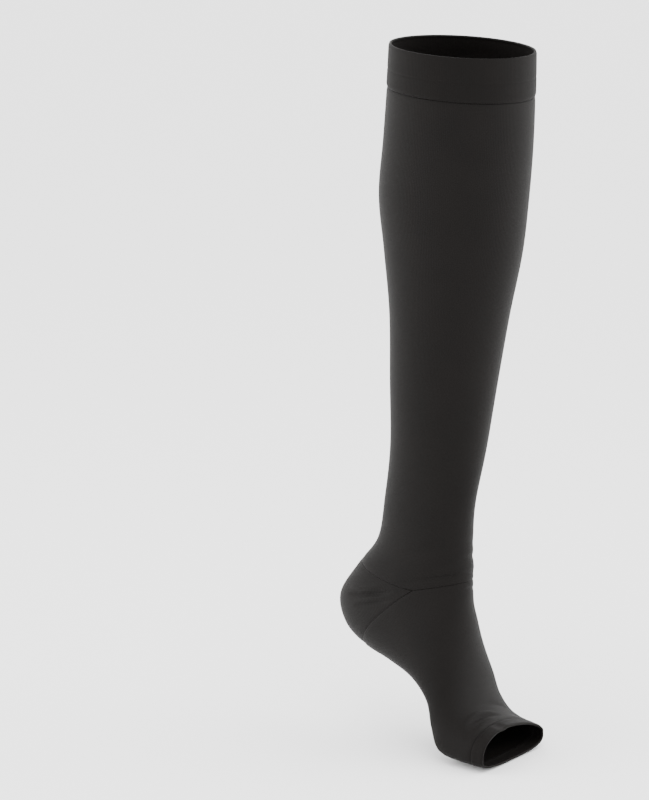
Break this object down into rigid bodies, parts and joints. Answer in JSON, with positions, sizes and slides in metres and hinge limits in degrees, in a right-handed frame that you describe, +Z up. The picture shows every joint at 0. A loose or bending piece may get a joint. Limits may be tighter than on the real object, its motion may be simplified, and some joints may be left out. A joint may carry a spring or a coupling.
{
  "type": "compression stocking",
  "caption": "Open-toe, below-knee compression stocking with a broad top band, a heel pocket and a toe welt, worn and hollow, with the heel raised.",
  "frame": {"origin": "middle of the top opening's edge, below the knee, where the leg holds the stocking up", "axes": "+Z up the leg, -Y forward towards the toes, +X to the outer side of this left stocking"},
  "size_m": [0.1275, 0.1764, 0.5447],
  "materials": {
    "top_band_knit": "double-knit black elastic welt, matt",
    "leg_knit": "fine black elastic knit, soft satin sheen",
    "heel_knit": "fine black elastic knit, soft satin sheen",
    "foot_knit": "fine black elastic knit, soft satin sheen",
    "toe_band_knit": "double-knit black elastic welt, matt"
  },
  "bodies": {
    "root": {"top_band": "top_band_knit", "leg": "leg_knit", "heel": "heel_knit", "foot": "foot_knit", "toe_band": "toe_band_knit"}
  },
  "joints": []
}
